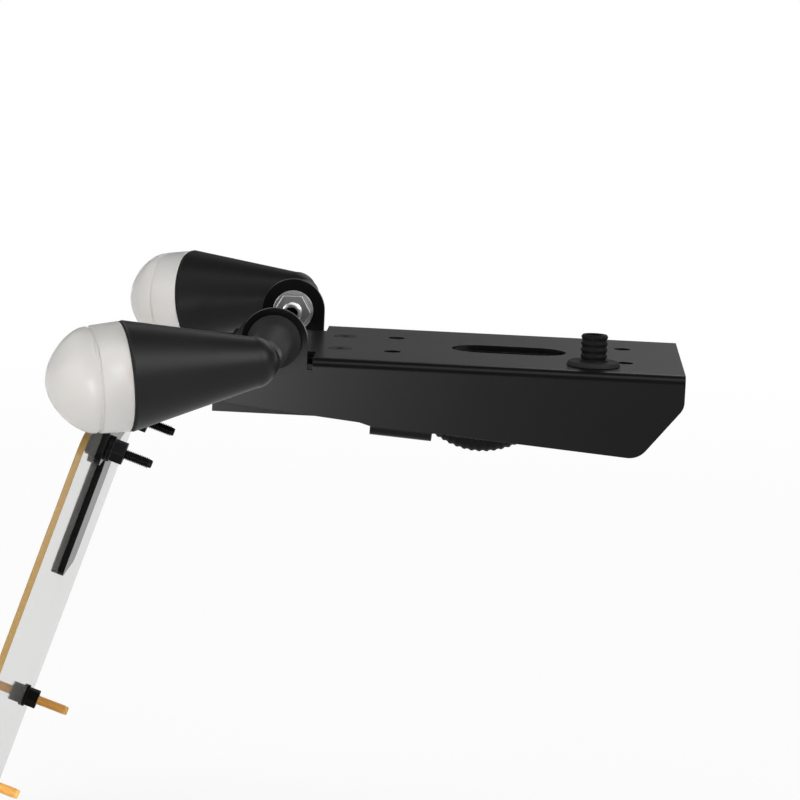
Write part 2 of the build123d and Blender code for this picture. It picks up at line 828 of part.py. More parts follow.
# Plate lamp screws: pan heads on the tab
with BuildPart() as lamp_screws:
    with BuildSketch(Plane.XY.offset(web_under)):
        with Locations(lamp_screw_spots):
            Circle(lamp_screw_head)
    extrude(amount=lamp_screw_head_height, taper=15)
    with BuildSketch(Plane.XY.offset(web_under)):
        with Locations(lamp_screw_spots):
            Circle(lamp_screw_radius)
    extrude(amount=-lamp_screw_length)
lamp_screws.part.label = "lamp_screws"
export_step(lamp_screws.part, "parts/lamp_screws.step")


# Wiring conduit: from the rear clip, sagging below the side plate, up through the grommet
with BuildPart() as wiring_conduit:
    with BuildLine() as conduit_path:
        FilletPolyline(
            (run_end, conduit_y, run_z),
            (run_front, conduit_y, run_z),
            (sag_x, conduit_y, sag_z),
            (riser_x, conduit_y, riser_z),
            (riser_x, conduit_y, conduit_top),
            radius=(run_bend, sag_bend, riser_bend),
        )
    with BuildSketch(Plane.YZ.offset(run_end)):
        with Locations((conduit_y, run_z)):
            Circle(conduit_radius)
            Circle(conduit_bore, mode=Mode.SUBTRACT)
    sweep(path=conduit_path.line)
wiring_conduit.part.label = "wiring_conduit"
export_step(wiring_conduit.part, "parts/wiring_conduit.step")


# Conduit clip: saddle under the nested web
with BuildPart() as conduit_clip:
    with BuildSketch(Plane.YZ.offset(clip_x - clip_length / 2)):
        with Locations((conduit_y, run_z)):
            Circle(conduit_radius + clip_wall)
        with Locations((conduit_y, (hanger_under + run_z) / 2)):
            Rectangle(2 * (conduit_radius + clip_wall), hanger_under - run_z)
        with Locations((conduit_y, run_z)):
            Circle(conduit_radius + slip, mode=Mode.SUBTRACT)
    extrude(amount=clip_length)
conduit_clip.part.label = "conduit_clip"
export_step(conduit_clip.part, "parts/conduit_clip.step")


# Conduit grommet: grooved ring in the top face
with BuildPart() as conduit_grommet:
    with BuildSketch(Plane.XZ.offset(-conduit_y)):
        with BuildLine():
            Polyline(
                (riser_x + conduit_radius + slip, web_under - grommet_lip_under),
                (riser_x + grommet_hole + grommet_lip, web_under - grommet_lip_under),
                (riser_x + grommet_hole + grommet_lip, web_under),
                (riser_x + grommet_hole - grommet_gap, web_under),
                (riser_x + grommet_hole - grommet_gap, 0),
                (riser_x + grommet_hole + grommet_lip, 0),
                (riser_x + grommet_hole + grommet_lip - grommet_lip_taper, grommet_lip_over),
                (riser_x + conduit_radius + slip, grommet_lip_over),
                close=True,
            )
        make_face()
    revolve(axis=Axis((riser_x, conduit_y, 0), (0, 0, 1)))
conduit_grommet.part.label = "conduit_grommet"
export_step(conduit_grommet.part, "parts/conduit_grommet.step")
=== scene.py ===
from math import cos, pi, radians, sin

import bmesh
import bpy
from mathutils import Matrix, Vector
from mathutils.geometry import interpolate_bezier


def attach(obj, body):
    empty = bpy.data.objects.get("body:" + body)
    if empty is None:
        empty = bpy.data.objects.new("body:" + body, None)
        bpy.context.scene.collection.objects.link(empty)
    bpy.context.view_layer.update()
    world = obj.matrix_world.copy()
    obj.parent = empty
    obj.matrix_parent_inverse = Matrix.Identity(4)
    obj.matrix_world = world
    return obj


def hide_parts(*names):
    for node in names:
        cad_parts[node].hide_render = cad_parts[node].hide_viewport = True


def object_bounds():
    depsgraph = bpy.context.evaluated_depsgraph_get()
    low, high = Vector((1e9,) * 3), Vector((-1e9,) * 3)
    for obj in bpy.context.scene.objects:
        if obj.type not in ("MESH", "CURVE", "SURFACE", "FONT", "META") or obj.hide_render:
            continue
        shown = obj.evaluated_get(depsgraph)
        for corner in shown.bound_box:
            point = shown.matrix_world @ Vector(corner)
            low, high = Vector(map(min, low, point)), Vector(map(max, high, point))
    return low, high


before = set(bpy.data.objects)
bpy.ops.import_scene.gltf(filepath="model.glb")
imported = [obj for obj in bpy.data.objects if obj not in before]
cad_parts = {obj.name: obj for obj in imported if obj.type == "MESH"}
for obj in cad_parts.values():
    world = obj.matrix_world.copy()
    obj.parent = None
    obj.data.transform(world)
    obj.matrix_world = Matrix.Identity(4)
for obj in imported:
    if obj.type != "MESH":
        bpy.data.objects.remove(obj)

cad_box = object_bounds()


# Main bracket
# One steel channel, folded and pierced, that bolts up by its top face. It is powder coated in
# satin black, and the coat rubs thin and pale along its sheared edges.
mm = 0.001


def eased(node, edge, steps=2):
    """A merged copy of a solid in metres, its sharp edges rounded by mm and marked where they rub."""
    weld = 2e-6
    nearly_flat = radians(0.5)
    sharp_fold = radians(32)
    bm = bmesh.new()
    bm.from_mesh(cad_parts[node].data)
    rub = bm.faces.layers.float.new("edge_rub")
    bmesh.ops.remove_doubles(bm, verts=bm.verts, dist=weld)
    bmesh.ops.dissolve_limit(bm, angle_limit=nearly_flat, verts=bm.verts, edges=bm.edges)
    sharp = [e for e in bm.edges if e.is_manifold and e.calc_face_angle() > sharp_fold]
    rounded = bmesh.ops.bevel(
        bm,
        geom=sharp,
        offset=edge * mm,
        offset_type="OFFSET",
        segments=steps,
        profile=0.5,
        affect="EDGES",
        clamp_overlap=True,
        material=-1,
    )
    for face in rounded["faces"]:
        face[rub] = 1.0
    return bm


def placed(bm, name, finish, slot, *nodes, crease=34, size=1.0):
    """Makes the piece's object, gives it its finish and lets it stand for its solids."""
    bmesh.ops.scale(bm, vec=(size, size, size), verts=bm.verts)
    mesh = bpy.data.meshes.new(name)
    bm.to_mesh(mesh)
    bm.free()
    mesh.shade_smooth()
    mesh.set_sharp_from_angle(angle=radians(crease))
    mesh.materials.append(finish)
    piece = bpy.data.objects.new(name, mesh)
    bpy.context.scene.collection.objects.link(piece)
    piece.modifiers.new("flat_faces_shade_flat", "WEIGHTED_NORMAL").keep_sharp = True
    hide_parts(*nodes)
    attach(piece, "root")
    return piece


def added(tree, kind, **settings):
    """A node in a tree; a setting that is one of its inputs goes there, any other on the node."""
    made = tree.nodes.new(kind)
    for key, value in settings.items():
        if key in made.inputs:
            made.inputs[key].default_value = value
        else:
            setattr(made, key, value)
    return made


def effect(name, takes, gives):
    """An empty shader node group with its sockets, and its two end nodes."""
    tree = bpy.data.node_groups.new(name, "ShaderNodeTree")
    for label, kind, value in takes:
        socket = tree.interface.new_socket(label, in_out="INPUT", socket_type=kind)
        if value is not None:
            socket.default_value = value
    for label, kind in gives:
        tree.interface.new_socket(label, in_out="OUTPUT", socket_type=kind)
    return tree, tree.nodes.new("NodeGroupInput"), tree.nodes.new("NodeGroupOutput")


# Coat grain: the pebbled skin of a baked or moulded surface, cloudy over a hand's width
grain, grain_in, grain_out = effect(
    "coat_grain",
    [
        ("Vector", "NodeSocketVector", None),
        ("Pebbles", "NodeSocketFloat", 1100.0),
        ("Dark", "NodeSocketColor", (0.01, 0.01, 0.01, 1)),
        ("Light", "NodeSocketColor", (0.03, 0.03, 0.03, 1)),
        ("Smooth", "NodeSocketFloat", 0.35),
        ("Rough", "NodeSocketFloat", 0.5),
    ],
    [("Color", "NodeSocketColor"), ("Roughness", "NodeSocketFloat"), ("Height", "NodeSocketFloat")],
)
pebbles = added(grain, "ShaderNodeTexNoise", Detail=3.0, Roughness=0.55)
clouds = added(grain, "ShaderNodeTexNoise", Scale=22.0, Detail=2.0, Roughness=0.5)
blend = added(grain, "ShaderNodeMath", operation="MULTIPLY_ADD")
blend.inputs[1].default_value = 0.35
tone = added(grain, "ShaderNodeMix", data_type="RGBA")
sheen = added(grain, "ShaderNodeMapRange", **{"From Min": 0.3, "From Max": 0.7})
grain.links.new(grain_in.outputs["Vector"], pebbles.inputs["Vector"])
grain.links.new(grain_in.outputs["Pebbles"], pebbles.inputs["Scale"])
grain.links.new(grain_in.outputs["Vector"], clouds.inputs["Vector"])
grain.links.new(pebbles.outputs["Fac"], blend.inputs[0])
grain.links.new(clouds.outputs["Fac"], blend.inputs[2])
grain.links.new(blend.outputs[0], tone.inputs["Factor"])
grain.links.new(grain_in.outputs["Dark"], tone.inputs["A"])
grain.links.new(grain_in.outputs["Light"], tone.inputs["B"])
grain.links.new(clouds.outputs["Fac"], sheen.inputs["Value"])
grain.links.new(grain_in.outputs["Smooth"], sheen.inputs["To Min"])
grain.links.new(grain_in.outputs["Rough"], sheen.inputs["To Max"])
grain.links.new(tone.outputs["Result"], grain_out.inputs["Color"])
grain.links.new(sheen.outputs["Result"], grain_out.inputs["Roughness"])
grain.links.new(pebbles.outputs["Fac"], grain_out.inputs["Height"])

# Edge rub: broken pale line where handling thins a finish along an edge
rubbed, rub_in, rub_out = effect(
    "edge_rub",
    [
        ("Vector", "NodeSocketVector", None),
        ("Color", "NodeSocketColor", (0.02, 0.02, 0.02, 1)),
        ("Bare", "NodeSocketColor", (0.2, 0.2, 0.2, 1)),
        ("Amount", "NodeSocketFloat", 0.5),
    ],
    [("Color", "NodeSocketColor")],
)
marks = added(rubbed, "ShaderNodeAttribute", attribute_name="edge_rub")
broken = added(rubbed, "ShaderNodeTexNoise", Scale=160.0, Detail=5.0, Roughness=0.7)
patchy = added(rubbed, "ShaderNodeMapRange", **{"From Min": 0.35, "From Max": 0.7})
where = added(rubbed, "ShaderNodeMath", operation="MULTIPLY")
strength = added(rubbed, "ShaderNodeMath", operation="MULTIPLY")
shown = added(rubbed, "ShaderNodeMix", data_type="RGBA")
rubbed.links.new(rub_in.outputs["Vector"], broken.inputs["Vector"])
rubbed.links.new(broken.outputs["Fac"], patchy.inputs["Value"])
rubbed.links.new(marks.outputs["Fac"], where.inputs[0])
rubbed.links.new(patchy.outputs["Result"], where.inputs[1])
rubbed.links.new(where.outputs[0], strength.inputs[0])
rubbed.links.new(rub_in.outputs["Amount"], strength.inputs[1])
rubbed.links.new(strength.outputs[0], shown.inputs["Factor"])
rubbed.links.new(rub_in.outputs["Color"], shown.inputs["A"])
rubbed.links.new(rub_in.outputs["Bare"], shown.inputs["B"])
rubbed.links.new(shown.outputs["Result"], rub_out.inputs["Color"])


def grained(name, dark, light, smooth, rough, pebble=1100.0, bare=None, rub=0.5, depth=0.00004, **shader):
    """A finish with coat grain, rubbed edges where a bare colour is given, and plain shader values."""
    finish = bpy.data.materials.new(name)
    finish.use_nodes = True
    tree = finish.node_tree
    surface = tree.nodes["Principled BSDF"]
    for socket, value in shader.items():
        surface.inputs[socket.replace("_", " ")].default_value = value
    spot = added(tree, "ShaderNodeTexCoord")
    coat = added(tree, "ShaderNodeGroup", node_tree=grain)
    coat.inputs["Pebbles"].default_value = pebble
    coat.inputs["Dark"].default_value = (*dark, 1)
    coat.inputs["Light"].default_value = (*light, 1)
    coat.inputs["Smooth"].default_value = smooth
    coat.inputs["Rough"].default_value = rough
    bump = added(tree, "ShaderNodeBump", Strength=0.5, Distance=depth)
    tree.links.new(spot.outputs["Object"], coat.inputs["Vector"])
    tree.links.new(coat.outputs["Roughness"], surface.inputs["Roughness"])
    tree.links.new(coat.outputs["Height"], bump.inputs["Height"])
    tree.links.new(bump.outputs["Normal"], surface.inputs["Normal"])
    tree.links.new(coat.outputs["Color"], surface.inputs["Base Color"])
    if bare:
        edge = added(tree, "ShaderNodeGroup", node_tree=rubbed)
        edge.inputs["Bare"].default_value = (*bare, 1)
        edge.inputs["Amount"].default_value = rub
        tree.links.new(spot.outputs["Object"], edge.inputs["Vector"])
        tree.links.new(coat.outputs["Color"], edge.inputs["Color"])
        tree.links.new(edge.outputs["Color"], surface.inputs["Base Color"])
    return finish


# Its black is set darker than a real powder coat: partly the coat's own black, partly painted shade for the
# shade that falls on the bracket from above.
satin_coat = grained(
    "satin_coat",
    dark=(0.0026, 0.0026, 0.0025),
    light=(0.0038, 0.0037, 0.0036),
    smooth=0.28,
    rough=0.30,
    pebble=1500.0,
    bare=(0.10, 0.098, 0.094),
    rub=0.4,
    depth=0.000004,
    Specular_IOR_Level=0.11,
)
placed(eased("main_bracket", edge=0.3), "bracket", satin_coat, "black_sheet", "main_bracket")


# Plate hanger
# A second folded channel nested inside the bracket, with bent legs down to a cross head and a
# tongue. The lamp's tab is cut from the head and left flat. Same coat, a little darker: painted shade.
shaded_hanger_coat = grained(
    "shaded_hanger_coat",
    dark=(0.0022, 0.0022, 0.0022),
    light=(0.0034, 0.0034, 0.0033),
    smooth=0.25,
    rough=0.29,
    pebble=1500.0,
    bare=(0.09, 0.089, 0.086),
    rub=0.35,
    depth=0.000002,
    Specular_IOR_Level=0.08,
)
placed(eased("plate_hanger", edge=0.3), "hanger", shaded_hanger_coat, "black_sheet", "plate_hanger")


# Hanger screws and flange nuts
# Four countersunk socket screws hold the two channels together, with flange nuts underneath.
# Steel in black zinc; the threads are rolled, and stand a few turns below each nut.
def poured(bm, form):
    """Adds a finished form to the mesh of a whole piece."""
    mesh = bpy.data.meshes.new("form")
    form.to_mesh(mesh)
    form.free()
    bm.from_mesh(mesh)
    bpy.data.meshes.remove(mesh)


def turned(bm, foot, along, outline, sides=48):
    """A shape turned about a line, from its outline of radius and height above the foot."""
    out = along.orthogonal().normalized()
    form = bmesh.new()
    chain = [form.verts.new(foot + along * height + out * radius) for radius, height in outline]
    edges = [form.edges.new(ends) for ends in zip(chain, chain[1:])]
    bmesh.ops.spin(
        form,
        geom=chain + edges,
        cent=foot,
        axis=along,
        dvec=(0, 0, 0),
        angle=2 * pi,
        steps=sides,
        use_merge=True,
        use_duplicate=False,
    )
    bmesh.ops.remove_doubles(form, verts=form.verts, dist=1e-4)
    bmesh.ops.recalc_face_normals(form, faces=form.faces)
    poured(bm, form)


def threaded(bm, foot, along, radius, pitch, reach, bore=0.0):
    """A threaded shank: a chamfered core, and one wound turn of tooth repeated along it."""
    turn_steps = 24
    sunk = 0.1
    core = radius - 0.6 * pitch
    tip = 0.7 * pitch
    shank = [(bore, 0), (core, 0), (core, reach - tip), (core - 0.5 * tip, reach), (bore, reach)]
    turned(bm, foot, along, shank + shank[:1] if bore else shank)
    out = along.orthogonal().normalized()
    form = bmesh.new()
    tooth = [
        form.verts.new(foot + out * width + along * height * pitch)
        for width, height in ((core - sunk, 0.02), (radius, 0.42), (radius, 0.58), (core - sunk, 0.98))
    ]
    edges = [form.edges.new(ends) for ends in zip(tooth, tooth[1:] + tooth[:1])]
    bmesh.ops.spin(
        form,
        geom=tooth + edges,
        cent=foot,
        axis=along,
        dvec=along * pitch / turn_steps,
        angle=2 * pi,
        steps=turn_steps,
        use_merge=False,
        use_duplicate=False,
    )
    turn = [*form.verts, *form.edges, *form.faces]
    for step in range(1, int((reach - tip) / pitch) - 1):
        copy = bmesh.ops.duplicate(form, geom=turn)
        moved = [part for part in copy["geom"] if isinstance(part, bmesh.types.BMVert)]
        bmesh.ops.translate(form, vec=along * pitch * step, verts=moved)
    bmesh.ops.remove_doubles(form, verts=form.verts, dist=1e-3)
    bmesh.ops.holes_fill(form, edges=[e for e in form.edges if e.is_boundary], sides=0)
    bmesh.ops.recalc_face_normals(form, faces=form.faces)
    poured(bm, form)


def headed(node, edge, cut, along):
    """The heads of a set of screws, in mm, cut off where their shanks begin."""
    bm = eased(node, edge)
    bmesh.ops.scale(bm, vec=(1 / mm, 1 / mm, 1 / mm), verts=bm.verts)
    whole = [*bm.verts, *bm.edges, *bm.faces]
    bmesh.ops.bisect_plane(bm, geom=whole, plane_co=cut, plane_no=along, clear_outer=True)
    bmesh.ops.holes_fill(bm, edges=[e for e in bm.edges if e.is_boundary], sides=0)
    return bm


black_zinc = grained(
    "black_zinc",
    dark=(0.0026, 0.0026, 0.0034),
    light=(0.0055, 0.0055, 0.0068),
    smooth=0.34,
    rough=0.46,
    pebble=2600.0,
    bare=(0.08, 0.08, 0.084),
    rub=0.3,
    depth=0.00001,
    Specular_IOR_Level=0.1,
)
down = Vector((0, 0, -1))
screw_rows = (-64.0, -96.0)
screw_y = 18.0
screw_neck = -2.2
lap = 0.1
screws = headed("hanger_screws", edge=0.12, cut=Vector((0, 0, screw_neck - lap)), along=down)
for x in screw_rows:
    for y in (-screw_y, screw_y):
        threaded(screws, Vector((x, y, screw_neck)), down, radius=2.5, pitch=0.8, reach=11.8)
placed(screws, "hanger_screws_threaded", black_zinc, "black_fastener", "hanger_screws", size=mm)
placed(eased("hanger_nuts", edge=0.2), "hanger_flange_nuts", black_zinc, "black_fastener", "hanger_nuts")


# Number plate
# A blank sheet of acrylic with yellow film behind its face, so its edges glow amber, and a
# glossy silvered back. It hangs on the cross head with its foot out to the rear.
lean = radians(18.5)
plate_foot = Vector((-138.2, 0, 0))
plate_out = Vector((cos(lean), 0, -sin(lean)))
plate_up = Vector((sin(lean), 0, cos(lean)))
amber_sheet = grained(
    "amber_sheet",
    dark=(0.26, 0.162, 0.052),
    light=(0.32, 0.205, 0.070),
    smooth=0.30,
    rough=0.42,
    pebble=700.0,
    bare=(0.46, 0.33, 0.15),
    rub=0.4,
    depth=0.00001,
    Subsurface_Weight=0.15,
    Subsurface_Scale=0.002,
    Specular_IOR_Level=0.12,
)
silvered_back = grained(
    "silvered_back",
    dark=(0.28, 0.272, 0.26),
    light=(0.32, 0.312, 0.30),
    smooth=0.04,
    rough=0.05,
    pebble=260.0,
    depth=0.0,
    Specular_IOR_Level=0.2,
)
film_face = grained(
    "film_face",
    dark=(0.74, 0.50, 0.035),
    light=(0.82, 0.57, 0.055),
    smooth=0.24,
    rough=0.3,
    pebble=420.0,
    depth=0.00001,
    Coat_Weight=0.15,
    Coat_Roughness=0.12,
)
plate = placed(eased("number_plate", edge=0.35), "plate_sheet", amber_sheet, "plate_sheet", "number_plate")
plate.data.materials.append(silvered_back)
plate.data.materials.append(film_face)
square_on = 0.95
for face in plate.data.polygons:
    facing = face.normal.dot(plate_out)
    if abs(facing) > square_on:
        face.material_index = 1 if facing > 0 else 2


# Plate bolts, washers and nuts
# Two long button head screws through the plate and the head's slots, with tall flange nuts on
# washers. All in black zinc, with the spare thread left standing forwards.
upper_y = 39.0
upper_drop = 40.5
plate_middle = 1.2
head_cut = plate_foot - plate_out * plate_middle
bolts = headed("plate_bolts", edge=0.15, cut=head_cut, along=plate_out)
for y in (-upper_y, upper_y):
    spot = plate_foot + Vector((0, y, 0)) - plate_up * upper_drop
    threaded(bolts, spot - plate_out * (plate_middle + lap), plate_out, radius=2.0, pitch=0.7, reach=21.8)
placed(bolts, "plate_bolts_threaded", black_zinc, "black_fastener", "plate_bolts", size=mm)
placed(eased("plate_washers", edge=0.15), "plate_bolt_washers", black_zinc, "black_fastener", "plate_washers")
placed(eased("plate_nuts", edge=0.25), "plate_flange_nuts", black_zinc, "black_fastener", "plate_nuts")


# Nylon bolts and nuts
# The plate's lower pair: moulded yellow nylon screws with slotted heads, and black nylon
# flange nuts run up against the back of the plate.
yellow_nylon = grained(
    "yellow_nylon",
    dark=(0.92, 0.46, 0.10),
    light=(0.99, 0.55, 0.145),
    smooth=0.36,
    rough=0.5,
    pebble=1500.0,
    depth=0.00001,
    Subsurface_Weight=0.2,
    Subsurface_Scale=0.0015,
)
black_nylon = grained(
    "black_nylon",
    dark=(0.0028, 0.0027, 0.0024),
    light=(0.0052, 0.0050, 0.0045),
    smooth=0.42,
    rough=0.54,
    pebble=1800.0,
    bare=(0.05, 0.05, 0.048),
    rub=0.3,
    depth=0.00001,
    Specular_IOR_Level=0.08,
)
lower_y = 66.0
lower_drop = 170.7
nylons = headed("nylon_bolts", edge=0.2, cut=head_cut, along=plate_out)
for y in (-lower_y, lower_y):
    spot = plate_foot + Vector((0, y, 0)) - plate_up * lower_drop
    threaded(nylons, spot - plate_out * (plate_middle + lap), plate_out, radius=2.0, pitch=0.5, reach=20.3)
placed(nylons, "nylon_bolts_threaded", yellow_nylon, "yellow_nylon", "nylon_bolts", size=mm)
placed(eased("nylon_nuts", edge=0.3), "nylon_flange_nuts", black_nylon, "black_nylon", "nylon_nuts")


# Indicators
# Each is a moulded black bullet on a rubber stem: a bright bowl and an amber bulb sit in its
# mouth, a seal runs round the seam, and a clear cap with a stippled inside closes it.
droop = radians(6.4)
splay = radians(17.8)
seam_x = -133.0
seam_y = 120.0
elbow_on_axis = 49.0
elbow_x = seam_x + elbow_on_axis * cos(droop) * cos(splay)
elbow_z = elbow_on_axis * sin(droop)
neck_y = 95.0
moulded_black = grained(
    "moulded_black",
    dark=(0.0045, 0.0045, 0.0050),
    light=(0.0070, 0.0070, 0.0076),
    smooth=0.38,
    rough=0.44,
    pebble=1700.0,
    bare=(0.05, 0.05, 0.05),
    rub=0.3,
    depth=0.00001,
    Specular_IOR_Level=0.17,
)
soft_rubber = grained(
    "soft_rubber",
    dark=(0.008, 0.008, 0.008),
    light=(0.018, 0.018, 0.0178),
    smooth=0.55,
    rough=0.75,
    pebble=1200.0,
    depth=0.00005,
    Specular_IOR_Level=0.12,
)
bright_bowl = grained(
    "bright_bowl",
    dark=(0.80, 0.80, 0.81),
    light=(0.88, 0.88, 0.88),
    smooth=0.08,
    rough=0.16,
    pebble=500.0,
    depth=0.00001,
    Metallic=1.0,
)
amber_glass = grained(
    "amber_glass",
    dark=(0.85, 0.30, 0.05),
    light=(0.95, 0.38, 0.08),
    smooth=0.06,
    rough=0.14,
    pebble=500.0,
    depth=0.00001,
    Transmission_Weight=0.55,
    IOR=1.5,
)
clear_cap = grained(
    "clear_cap",
    dark=(0.90, 0.888, 0.87),
    light=(0.95, 0.938, 0.92),
    smooth=0.36,
    rough=0.44,
    pebble=1500.0,
    depth=0.00002,
    Transmission_Weight=0.8,
    IOR=1.45,
)


def bowed(*ends_and_handles, points):
    """A smooth stretch of outline between two ends, drawn towards the two handles between them."""
    corners = [Vector((radius, height, 0)) for radius, height in ends_and_handles]
    return [point.xy for point in interpolate_bezier(*corners, points)]


# Half outlines to turn, each point a radius and a distance from the seam or from the neck's end
tail = bowed((9.2, 46), (9.2, 50.7), (5.1, 54.5), (0, 54.5), points=14)
nose = bowed((18.8, 12.7), (18.7, 19.3), (8.6, 28.5), (0, 28.5), points=26)
inside = bowed((0, 26.3), (8.6, 26.3), (16.5, 18.6), (16.6, 13.4), points=20)
bullet_outline = [(0, 28), (10.6, 28), (17.1, 1.2), (18.4, 1.2), (18.4, 0), (19.4, 0), (19.7, 0.4), *tail]
neck_outline = [(0, 0.6), (4.1, 0.6), (4.1, 0), (6.2, 0), (6.5, 0.3), (6.5, 10), (0, 12)]
cap_skirt = [(17.3, 0.8), (19.2, 0.8), (19.5, 1.1), (19.02, 10.9)]
cap_groove = [(18.9, 11.1), (18.2, 11.3), (18.1, 11.5), (18.1, 12.0), (18.2, 12.2), (18.72, 12.5)]
cap_outline = [*cap_skirt, *cap_groove, *nose, *inside, (16.7, 10.6), (17.3, 0.8)]
seal_outline = [(16.1, 0), (19.3, 0), (19.5, 0.4), (19.3, 0.8), (16.1, 0.8), (16.1, 0)]
bowl_rim = [(15.9, 0), (18.2, 0), (18.2, 1.2), (16.9, 1.2)]
bowl_outside = [(15.0, 5.4), (12.6, 9.0), (9.9, 13.6), (7, 18)]
bowl_inside = [(6, 18), (6, 17), (8.9, 12.8), (11.6, 8.5), (14.0, 4.4), (15.9, 0)]
bowl_outline = [*bowl_rim, *bowl_outside, *bowl_inside]
socket_outline = [(0, 28), (5.8, 28), (5.8, 15.4), (5.4, 15), (0, 15)]
bulb_outline = [(0, 15), (3.6, 15), (4.4, 5.4), (4.2, 4.0), (3.5, 2.6), (2.2, 1.5), (1.0, 1.1), (0, 1.0)]
sleeve_taper = [(6.3, 0), (6.5, 0.3), (6.7, 8), (7.0, 22), (7.3, 34), (7.6, 38.6), (8.6, 41), (9.7, 42.2)]
sleeve_outline = [(4.05, 0), *sleeve_taper, (10, 42.6), (10, 44.7), (9.7, 45), (4.05, 45), (4.05, 0)]

for side, hand in ((-1, "right"), (1, "left")):
    seam = Vector((seam_x, side * seam_y, 0))
    axial = Vector((cos(droop) * cos(splay), -side * cos(droop) * sin(splay), sin(droop)))
    inwards = Vector((0, -side, 0))
    neck = Vector((elbow_x, side * neck_y, elbow_z))

    bullet = bmesh.new()
    turned(bullet, seam, axial, bullet_outline, sides=96)
    turned(bullet, neck, -inwards, neck_outline)
    housing = hand + "_indicator_housing"
    placed(bullet, hand + "_bullet", moulded_black, "housing_black", housing, size=mm, crease=28)

    for name, finish, slot, node, foot, along, outline, sides, crease in (
        ("_clear_cap", clear_cap, "lens_clear", "_indicator_lens", seam, -axial, cap_outline, 96, 40),
        ("_seal", soft_rubber, "seal_rubber", "_indicator_gasket", seam, -axial, seal_outline, 96, 34),
        ("_bowl", bright_bowl, "reflector_bright", "_indicator_reflector", seam, axial, bowl_outline, 96, 34),
        ("_bulb_socket", black_nylon, "black_nylon", "_bulb_holder", seam, axial, socket_outline, 48, 34),
        ("_bulb_glass", amber_glass, "bulb_amber", "_bulb", seam, axial, bulb_outline, 48, 50),
        ("_sleeve", soft_rubber, "seal_rubber", "_stem", neck, inwards, sleeve_outline, 64, 34),
    ):
        form = bmesh.new()
        turned(form, foot, along, outline, sides)
        placed(form, hand + name, finish, slot, hand + node, size=mm, crease=crease)


# Indicator studs, washers and nuts
# Hollow threaded studs run from the necks through the ears, for the bulb's wires to pass.
# Bright zinc, pulled up by a washer and a thin nut inside each ear.
bright_zinc = grained(
    "bright_zinc",
    dark=(0.42, 0.42, 0.43),
    light=(0.56, 0.56, 0.57),
    smooth=0.24,
    rough=0.4,
    pebble=2200.0,
    bare=(0.7, 0.7, 0.71),
    rub=0.4,
    Metallic=1.0,
)
stud_end = 101.0
studs = bmesh.new()
for side in (-1, 1):
    foot = Vector((elbow_x, side * stud_end, elbow_z))
    threaded(studs, foot, Vector((0, -side, 0)), radius=4.0, pitch=1.0, reach=64.0, bore=2.5)
placed(studs, "studs_threaded", bright_zinc, "bright_steel", "indicator_studs", size=mm)
placed(eased("indicator_washers", edge=0.2), "stud_washers", bright_zinc, "bright_steel", "indicator_washers")
placed(eased("indicator_nuts", edge=0.3), "stud_nuts", bright_zinc, "bright_steel", "indicator_nuts")


# Plate lamp
# A small moulded box under the hanger's tab, open downwards. A white board with two rows of
# emitters sits on its ledges, behind a clear cover, and two pan head screws hold it up.
placed(eased("lamp_housing", edge=0.4, steps=3), "lamp_box", moulded_black, "housing_black", "lamp_housing")
cover_clear = grained(
    "cover_clear",
    dark=(0.95, 0.95, 0.95),
    light=(0.98, 0.98, 0.98),
    smooth=0.04,
    rough=0.10,
    pebble=900.0,
    depth=0.00002,
    Transmission_Weight=0.95,
    IOR=1.49,
)
placed(eased("lamp_lens", edge=0.2), "lamp_cover", cover_clear, "lens_clear", "lamp_lens")
board_mask = grained(
    "board_mask",
    dark=(0.74, 0.75, 0.73),
    light=(0.82, 0.83, 0.81),
    smooth=0.3,
    rough=0.45,
    pebble=3000.0,
    depth=0.00001,
)
emitter_gel = grained(
    "emitter_gel",
    dark=(0.72, 0.55, 0.08),
    light=(0.86, 0.70, 0.16),
    smooth=0.25,
    rough=0.4,
    pebble=4000.0,
    depth=0.00001,
)
board = placed(eased("lamp_board", edge=0.1), "lamp_emitter_board", board_mask, "board_white", "lamp_board")
board.data.materials.append(emitter_gel)
board_face = -0.01125
for face in board.data.polygons:
    if face.center.z < board_face:
        face.material_index = 1
pan_screws = eased("lamp_screws", edge=0.3, steps=3)
placed(pan_screws, "lamp_pan_screws", black_zinc, "black_fastener", "lamp_screws")


# Wiring conduit, clip and grommet
# Ribbed black loom tube, bent by hand. It starts in a saddle clip under the nested web, sags
# just below the side plate, and climbs through a rubber grommet in the top face.
tube_y = -32.0
route = [
    (-78.0, -12.5), (-64.0, -12.5), (-50.0, -12.5), (-31.0, -21.0), (-9.5, -32.4),
    (14.0, -21.4), (32.0, -13.4), (32.0, -2.0), (32.0, 12.0),
]
guide = bpy.data.curves.new("conduit_route", "CURVE")
guide.dimensions = "3D"
guide.resolution_u = 24
line = guide.splines.new("NURBS")
line.points.add(len(route) - 1)
for point, (x, z) in zip(line.points, route):
    point.co = (x, tube_y, z, 1)
line.order_u = 3
line.use_endpoint_u = True
guide_object = bpy.data.objects.new("conduit_route", guide)
traced = bpy.data.meshes.new_from_object(guide_object)
track = [Vector(point.co) for point in traced.vertices]
bpy.data.objects.remove(guide_object)
bpy.data.meshes.remove(traced)

rib_pitch = 2.4
rings_per_rib = 4
ring_sides = 28
rib_radius = 5.0
valley_radius = 4.6
conduit_bore = 3.5
throat_depth = 9.0
stations = []
walked = 0.0
due = 0.0
for start, end in zip(track, track[1:]):
    stride = (end - start).length
    while due <= walked + stride:
        stations.append((start.lerp(end, (due - walked) / stride), (end - start).normalized()))
        due += rib_pitch / rings_per_rib
    walked += stride


def hoop(bm, spot, heading, radius):
    """The edges of one ring square to the tube's line."""
    turn = Matrix((Vector((0, 1, 0)), heading.cross(Vector((0, 1, 0))), heading)).transposed().to_4x4()
    place = Matrix.Translation(spot) @ turn
    ring = bmesh.ops.create_circle(bm, segments=ring_sides, radius=radius, matrix=place)
    return list({edge for vert in ring["verts"] for edge in vert.link_edges})


